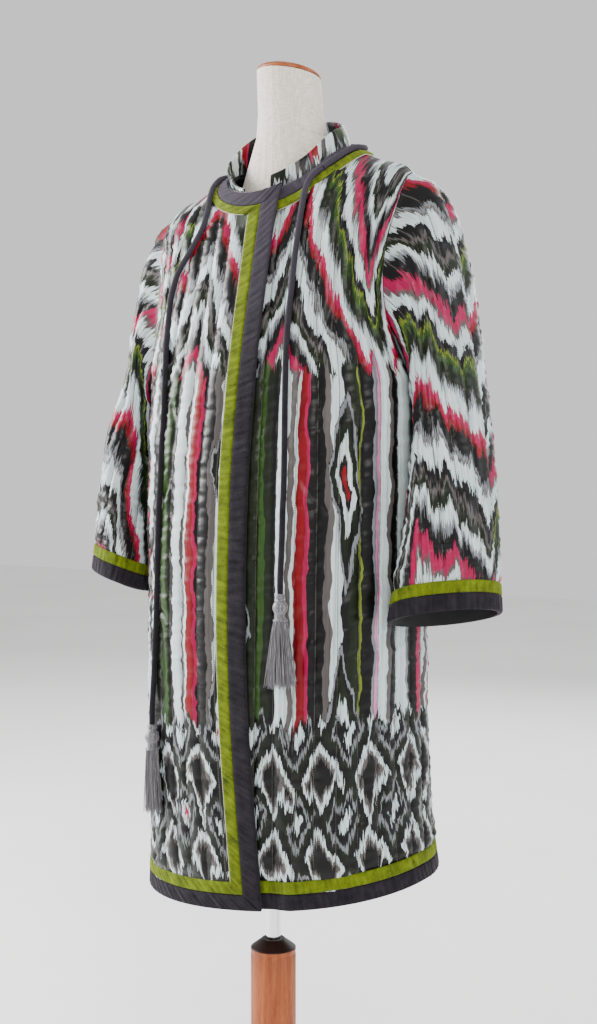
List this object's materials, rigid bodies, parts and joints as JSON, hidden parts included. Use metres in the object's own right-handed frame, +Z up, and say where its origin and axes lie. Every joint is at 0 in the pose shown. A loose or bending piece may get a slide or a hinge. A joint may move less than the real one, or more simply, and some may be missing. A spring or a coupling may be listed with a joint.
{
  "type": "quilted coat on dress form",
  "caption": "Quilted open coat with a stand collar, velvet bands at every edge and a tasselled cord tie, worn on a limbless dress form with a round base.",
  "frame": {"origin": "centre of the base disc's underside, on the post's axis", "axes": "+Z up along the post, the coat's front faces -Y and the wearer's left is +X"},
  "size_m": [0.6567, 0.3927, 1.5403],
  "materials": {
    "printed_cotton": "quilted printed cotton, matt",
    "grey_velvet": "dark grey cotton velvet",
    "lime_velvet": "lime green cotton velvet",
    "tassel_thread": "loose silver grey thread",
    "linen": "taut natural linen cover",
    "stained_wood": "red-brown stained and polished wood",
    "chromed_steel": "polished chrome"
  },
  "bodies": {
    "root": {"front_right": "printed_cotton", "front_left": "printed_cotton", "back": "printed_cotton", "sleeve_left": "printed_cotton", "sleeve_right": "printed_cotton", "collar": "printed_cotton", "front_band_grey": "grey_velvet", "hem_band_grey": "grey_velvet", "neck_band_grey": "grey_velvet", "cuff_grey_left": "grey_velvet", "cuff_grey_right": "grey_velvet", "tie_neck": "grey_velvet", "tie_left": "grey_velvet", "tie_right": "grey_velvet", "front_band_lime": "lime_velvet", "hem_band_lime": "lime_velvet", "neck_band_lime": "lime_velvet", "cuff_lime_left": "lime_velvet", "cuff_lime_right": "lime_velvet", "tassel_left": "tassel_thread", "tassel_right": "tassel_thread", "torso": "linen", "neck_cap": "stained_wood", "base_plate": "stained_wood", "post": "stained_wood", "base": "stained_wood", "rod": "chromed_steel"}
  },
  "joints": []
}
